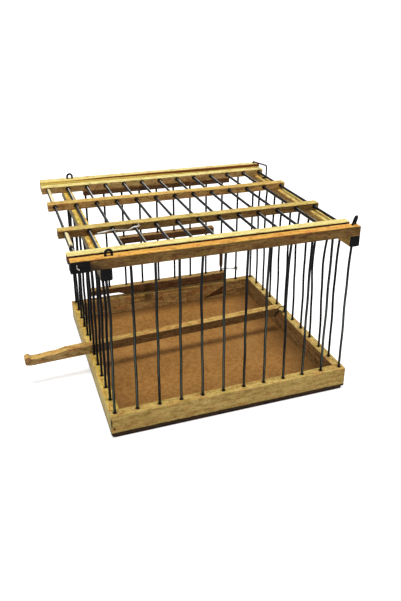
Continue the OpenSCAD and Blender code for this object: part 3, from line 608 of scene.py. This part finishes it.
def top_rails():
    left_rail = wood(
        "left_rail", GRAIN_Y, 1.1, mottling=0.7, marks=(lower_edge,),
        top=tones((255, 234, 124), (228, 184, 80)),
        front=tones((172, 134, 70), (120, 84, 38)),
        left=tones((168, 157, 110), (105, 90, 56)),
    )
    right_rail = wood(
        "right_rail", GRAIN_Y, 8.4, mottling=0.6,
        top=tones((250, 226, 134), (212, 172, 84)),
        front=tones((180, 140, 76), (128, 90, 42)),
        left=tones((222, 188, 104), (150, 112, 58)),
    )
    front_rail = wood(
        "front_rail", GRAIN_X, 5.2, mottling=0.55, marks=(gap_shadow_line, tape_shadow),
        top=tones((242, 202, 104), (224, 148, 54)),
        front=tones((150, 117, 65), (86, 60, 28)),
    )
    rear_rail = wood(
        "rear_rail", GRAIN_X, 6.4, marks=(shadow_line,),
        top=tones((250, 238, 164), (224, 196, 116)),
        front=tones((196, 122, 56), (116, 50, 20)),
        inner=tones((204, 166, 98), (138, 100, 50)),
    )
    return {
        "left_side_rail": left_rail, "right_side_rail": right_rail,
        "front_top_rail": front_rail, "rear_top_rail": rear_rail,
    }


def lid_laths():
    front_lath = wood(
        "front_lath", GRAIN_X, 0.3, mottling=0.35, marks=(spoke_holes,),
        top=tones((250, 244, 172), (230, 206, 118)),
        front=tones((124, 74, 34), (70, 34, 14)),
    )
    second_lath = wood(
        "second_lath", GRAIN_X, 7.5, marks=(spoke_holes,),
        top=tones((232, 210, 124), (188, 158, 80)),
        front=tones((150, 117, 62), (82, 58, 28)),
    )
    third_lath = wood(
        "third_lath", GRAIN_X, 5.1, marks=(spoke_holes,),
        top=tones((240, 208, 119), (190, 150, 73)),
        front=tones((210, 168, 100), (140, 98, 50)),
    )
    rear_lath = wood(
        "rear_lath", GRAIN_X, 2.2, marks=(spoke_holes,),
        top=tones((252, 244, 170), (230, 206, 118)),
        front=tones((216, 182, 118), (148, 112, 64)),
    )
    return {
        "lid_front_lath": front_lath, "lid_second_lath": second_lath,
        "lid_third_lath": third_lath, "lid_rear_lath": rear_lath,
    }


def door_and_perch():
    outer_bar = wood(
        "door_wood", GRAIN_X, 8.6, marks=(shadow_blob,),
        top=tones((226, 192, 116), (172, 128, 70)),
        front=tones((140, 106, 70), (68, 42, 26)),
    )
    middle_bar = wood(
        "door_middle_wood", GRAIN_X, 6.9,
        top=tones((244, 204, 132), (204, 154, 90)),
        front=tones((116, 84, 56), (56, 34, 22)),
    )
    perch = wood(
        "perch_wood", GRAIN_PERCH, 9.1, mottling=0.6, marks=(shaded_inside,),
        top=tones((232, 196, 116), (182, 140, 70)),
        front=tones((206, 172, 112), (130, 98, 56)),
    )
    return {
        "door_top_bar": outer_bar, "door_middle_bar": middle_bar,
        "door_bottom_bar": outer_bar, "perch": perch,
    }


def bars_and_spokes(bar, front_bar):
    plain = ("left_bars", "right_bars", "rear_corner_bars", "door_post_bar", "door_wires", "door_hinge_wire")
    looks = dict.fromkeys(plain, bar)
    # The lid spokes carry a painted glint on their tops.
    looks.update({"front_bars": front_bar, "lid_spokes": dark_bar("lid_spoke", painted_spoke_glint)})
    return looks


def bent_wires_and_nails():
    black = wire("black_wire", tones((5, 5, 5), (20, 20, 21)), roughness=0.5, specular=0.12)
    grey_tones, glint_tones = tones((86, 80, 70), (168, 164, 152)), tones((160, 152, 140), (236, 232, 222))
    grey = wire("grey_wire", grey_tones, roughness=0.45, metallic=0.2, specular=0.3)
    # The bent nail and the staple are painted near white: a painted highlight for the glint on the lit wire.
    bright = wire("bright_wire", glint_tones, roughness=0.4, metallic=0.3, specular=0.4)
    filled = wire("filled_nail_head", tones((196, 132, 60), (150, 96, 40)), roughness=0.6)
    rusty = wire("rusty_nail_head", tones((30, 20, 14), (58, 38, 26)), roughness=0.6, metallic=0.2)
    return {
        "eye_front_left": black, "eye_rear_left": black, "eye_front_right": black,
        "lid_catch": black, "perch_loop": black, "door_latch": grey,
        "lid_bent_nail": bright, "tape_staple": bright,
        "top_rail_nails": filled, "floor_nails": rusty, "corner_nails": corner_nail(),
    }


def sleeves_and_tape():
    # Each sleeve's last number is how strongly its left side is painted with shade.
    pale = sleeve("pale_sleeve", tones((244, 232, 190), (224, 206, 150)), shaded_side=0.95)
    brown = sleeve("brown_sleeve", tones((122, 82, 50), (82, 52, 32)), shaded_side=0.5)
    rubber = sleeve("ring_rubber", tones((20, 19, 18), (34, 32, 30)), shaded_side=0.5, roughness=0.65)
    tape = black_tape()
    return {
        "front_spoke_sleeve": pale, "rear_spoke_sleeve": pale,
        "door_grip_sleeve": brown, "sleeve_ring": rubber,
        "left_end_cap": tape, "right_end_cap": tape, "rail_end_tape": tape,
    }


def dress(looks):
    """Gives each node its finish."""
    for node, material in looks.items():
        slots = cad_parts[node].data.materials
        slots.clear()
        slots.append(material)


# Hand-straightened wall bars

# How far each bar bows to the right between its seats, in millimetres, to the nearest half
FRONT_BOWS = (1.5, 0.5, 0, 0, -1.5, -1, -0.5, -1, -2, -0.5, 0, -1)
LEFT_BOWS = (1.5, 1, 2, 1, 0.5, 2, 0.5, -0.5, 1.5, -0.5)
RIGHT_BOWS = (-1.5, -3.5, -3.5, -1.5, -2, -0.5, -1.5, -0.5, -1.5, -1)

# The small wavering that every bar has too: how far, how many waves, and the shift from bar to bar
WAVER, WAVES, WAVE_SHIFT = 0.28, 2.6, 0.37

BAR_SIDES = 20
BAR_BENDS = 31


def aside(bow, bar, free):
    """How far a bar is out to the right, in millimetres; free is 0 at the board and 1 at the rail."""
    waver = WAVER * math.sin(2 * math.pi * (WAVES * free + WAVE_SHIFT * bar))
    return bow * math.sin(math.pi * free * free) + waver * math.sin(math.pi * free)


def bowed_bars(name, node, seats, bows, material):
    """A wall's bars as wires straightened by hand. A seat is a bar's x and y and its rail's underside."""
    wires = bmesh.new()
    for x, y, rail in seats:
        top = rail + RAIL_SEAT
        bmesh.ops.create_cone(
            wires, cap_ends=True, segments=BAR_SIDES, radius1=BAR_D / 2, radius2=BAR_D / 2,
            depth=top - BAR_FOOT, matrix=Matrix.Translation((x, y, (BAR_FOOT + top) / 2)),
        )
    lengthways = [e for e in wires.edges if abs(e.verts[0].co.z - e.verts[1].co.z) > BAR_D]
    bmesh.ops.subdivide_edges(wires, edges=lengthways, cuts=BAR_BENDS, use_grid_fill=True)
    for point in wires.verts:
        at = point.co
        bar = min(range(len(seats)), key=lambda i: abs(at.x - seats[i][X]) + abs(at.y - seats[i][Y]))
        free = (at.z - BOARD_TOP) / (seats[bar][Z] - BOARD_TOP)
        at.x += aside(bows[bar], bar + 1, min(1.0, max(0.0, free))) * MM
    wires.normal_update()
    for face in wires.faces:
        face.smooth = abs(face.normal.z) < 0.5
    mesh = bpy.data.meshes.new(name)
    wires.to_mesh(mesh)
    wires.free()
    piece = bpy.data.objects.new(name, mesh)
    bpy.context.scene.collection.objects.link(piece)
    mesh.materials.append(material)
    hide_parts(node)
    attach(piece, "cage")


def bow_the_walls(bar, front_bar):
    """The front wall has a bar on every line, and its corner bars stand under the side rails."""
    lines = [i * BAR_PITCH - WALL_LINE for i in range(BAR_LINES)]
    rails = [SIDE_RAIL] + (BAR_LINES - 2) * [CROSS_RAIL] + [SIDE_RAIL]
    front = [(x, -WALL_LINE, rail) for x, rail in zip(lines, rails)]
    bowed_bars("front_bars_bowed", "front_bars", front, FRONT_BOWS, front_bar)
    for side, x, bows in (("left", -WALL_LINE, LEFT_BOWS), ("right", WALL_LINE, RIGHT_BOWS)):
        seats = [(x, y, SIDE_RAIL) for y in lines[1:-1]]
        bowed_bars(side + "_bars_bowed", side + "_bars", seats, bows, bar)


# White floor and studio light

FLOOR_HALF = 6.0
FLOOR_DROP = 0.5 * MM
FLOOR_GREY = 0.8
FLOOR_GLOW = 0.55
SKY_LIGHT = 0.5
LAMP_STRENGTH = 2.2
LAMP_SPREAD = math.radians(20)
LAMP_WAY = Vector((0.06, 0.08, -1.0))


def white_floor():
    """A pale floor that keeps the cage's shadow and glows for the camera alone."""
    sheet = bmesh.new()
    bmesh.ops.create_grid(sheet, x_segments=1, y_segments=1, size=FLOOR_HALF)
    mesh = bpy.data.meshes.new("floor")
    sheet.to_mesh(mesh)
    sheet.free()
    floor = bpy.data.objects.new("floor", mesh)
    bpy.context.scene.collection.objects.link(floor)
    floor.location.z = -FLOOR_DROP
    f = Finish("white_floor", specular=0.0)
    f.paint((FLOOR_GREY, FLOOR_GREY, FLOOR_GREY, 1))
    f.gloss(0.9)
    seen = f.value(f.node("LightPath"), "Is Camera Ray")
    glow = f.node("Emission", {"Color": (1, 1, 1, 1), "Strength": FLOOR_GLOW * seen})
    both = f.node("AddShader", {0: f.shader.outputs[0], 1: glow.outputs[0]})
    f.feed(f.tree.nodes["Material Output"].inputs["Surface"], both.outputs[0])
    mesh.materials.append(f.material)


def light():
    """An even sky, white to the camera and in reflections, and a wide soft lamp from above."""
    world = bpy.data.worlds.new("studio")
    bpy.context.scene.world = world
    world.use_nodes = True
    nodes = Nodes(world.node_tree)
    rays = nodes.node("LightPath")
    seen = nodes.value(rays, "Is Camera Ray").most(nodes.value(rays, "Is Glossy Ray"))
    sky = world.node_tree.nodes["Background"]
    nodes.feed(sky.inputs["Color"], (1, 1, 1, 1))
    nodes.feed(sky.inputs["Strength"], SKY_LIGHT + (1 - SKY_LIGHT) * seen)
    lamp = bpy.data.lights.new("overhead", "SUN")
    lamp.energy = LAMP_STRENGTH
    lamp.angle = LAMP_SPREAD
    overhead = bpy.data.objects.new("overhead", lamp)
    overhead.rotation_mode = "QUATERNION"
    overhead.rotation_quaternion = LAMP_WAY.to_track_quat("-Z", "Y")
    bpy.context.scene.collection.objects.link(overhead)


set_camera()
wall_bar = dark_bar("wall_bar")
# The front bars carry a painted sheen.
front_wall_bar = dark_bar("front_wall_bar", painted_front_sheen)
dress({"floor_panel": hardboard()})
dress(tray_boards())
dress(top_rails())
dress(lid_laths())
dress(door_and_perch())
dress(bars_and_spokes(wall_bar, front_wall_bar))
dress(bent_wires_and_nails())
dress(sleeves_and_tape())
bow_the_walls(wall_bar, front_wall_bar)
white_floor()
light()
bpy.context.scene.view_settings.view_transform = "Standard"
